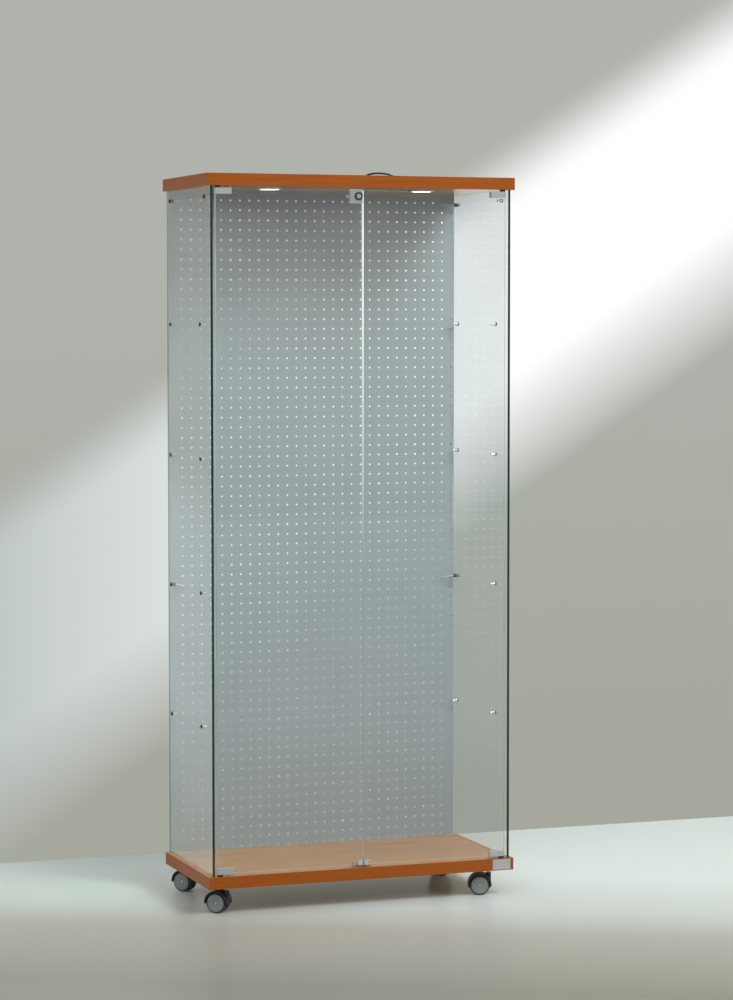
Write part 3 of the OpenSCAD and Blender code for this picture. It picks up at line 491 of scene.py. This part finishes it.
# ---------------------------------------------------------------- small black pieces
# Moulded black acetal, matt with a fine grain: the pivots' bushes, the lock's shell, and the
# studs and caps on the glass. The plug, the gland and the lamps' leads are as black and as matt.
black = grained("black acetal", "#191a1a", "#2d2e2e", 0.909, relief=0.2, Roughness=0.5, IOR=1.48)
dress(black, "pivot_bushes", "lock_shell", "tie_studs", "glass_caps", "lamp_leads",
      "cord_plug", "cord_gland")
ease(0.4 * MM, "cord_plug")

# ---------------------------------------------------------------- small white pieces
# White ABS mouldings with a fine matt grain: the lamp driver's case, the lamps' cans in the top
# board and the washers under the pins and studs.
white = grained("white ABS", "#cfcfc9", "#dcdcd7", 1.11, relief=0.15, Roughness=0.45, IOR=1.5)
dress(white, "lamp_driver", "glass_washers", "downlight_cans")
ease(0.8 * MM, "lamp_driver")

# ---------------------------------------------------------------- magnetic catch
# A moulded brown housing, made to go with the board it is screwed to, with a fine matt grain
# and softened edges.
brown = grained("brown moulded ABS", "#a88769", "#b99878", 1.11, relief=0.15, Roughness=0.45, IOR=1.5)
dress(brown, "magnetic_catch")
ease(0.4 * MM, "magnetic_catch")

# ---------------------------------------------------------------- castors
# Twin-wheel swivel castors: a moulded nylon hood over two moulded wheels, each with a dark
# rubber tread round a grey disc that is dished inside its rim, on one pressed axle.
nylon = grained("grey nylon hood", "#1d1e20", "#303134", 1.43, relief=0.15, relief_mm=0.2, detail=3.0,
                Roughness=0.4, IOR=1.53)
disc = grained("grey moulded wheel", "#727877", "#8d9391", 1.67, relief=0.12, relief_mm=0.2, detail=3.0,
               Roughness=0.45, IOR=1.53)
tread = grained("grey rubber tread", "#26282a", "#3a3d3f", 2.0, relief=0.0, detail=4.0,
                Roughness=0.5, IOR=1.5)

# One wheel's section in millimetres, as radius and distance from its inner face: hub, inner
# face, tread with round shoulders, a groove inside the rim, and a dished disc down to the hub
section = [(3.1, 0), (22.6, 0), (24.2, 0.5), (25, 2), (25, 6.4), (24.7, 8), (23.7, 9.6), (22.2, 10.4),
           (21.4, 10.4), (20.9, 9.5), (20.3, 9.5), (19.8, 10.1), (16, 10.4), (11, 10), (7, 9.2),
           (6, 9.3), (5.2, 9), (5, 7.6), (3.1, 7.6)]
tread_from_r = 21.6
between_wheels = 15
spins = {joint["child"]: joint for joint in frame["joints"]}
for corner in ("fl", "fr", "bl", "br"):
    for side, outwards in (("outer", 1), ("inner", -1)):
        shape = bmesh.new()
        outline = [shape.verts.new((r * MM, d * MM, 0)) for r, d in section]
        edges = [shape.edges.new((a, b)) for a, b in zip(outline, outline[1:] + outline[:1])]
        bmesh.ops.spin(shape, geom=outline + edges, cent=(0, 0, 0), axis=(0, 1, 0), angle=math.tau,
                       steps=56, use_merge=True)
        if side == "inner":
            bmesh.ops.scale(shape, vec=(1, -1, 1), verts=shape.verts)
        bmesh.ops.remove_doubles(shape, verts=shape.verts, dist=0.001 * MM)
        bmesh.ops.recalc_face_normals(shape, faces=shape.faces)
        for face in shape.faces:
            middle = face.calc_center_median()
            face.material_index = int(math.hypot(middle.x, middle.z) > tread_from_r * MM)
            face.smooth = True
        spin = spins[corner + "_" + side]
        axle_x, axle_y, _ = spin["axis"]
        turned = Matrix.Rotation(math.atan2(-axle_x, axle_y), 4, "Z")
        out_along = Matrix.Translation((0, outwards * between_wheels / 2 * MM, 0))
        on_axle = Matrix.Translation(spin["pos_m"]) @ turned @ out_along
        bmesh.ops.transform(shape, matrix=on_axle, verts=shape.verts)
        data = bpy.data.meshes.new(corner + "_wheel_" + side)
        shape.to_mesh(data)
        shape.free()
        data.materials.append(disc)
        data.materials.append(tread)
        wheel = place(corner + "_wheel_" + side, data, corner + "_" + side)
        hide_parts(corner + "_" + side + "_wheel")
        keep = wheel.modifiers.new("crisp", "EDGE_SPLIT")
        keep.split_angle = math.radians(40)
    dress(nylon, corner + "_castor_hood")
    ease(0.7 * MM, corner + "_castor_hood")
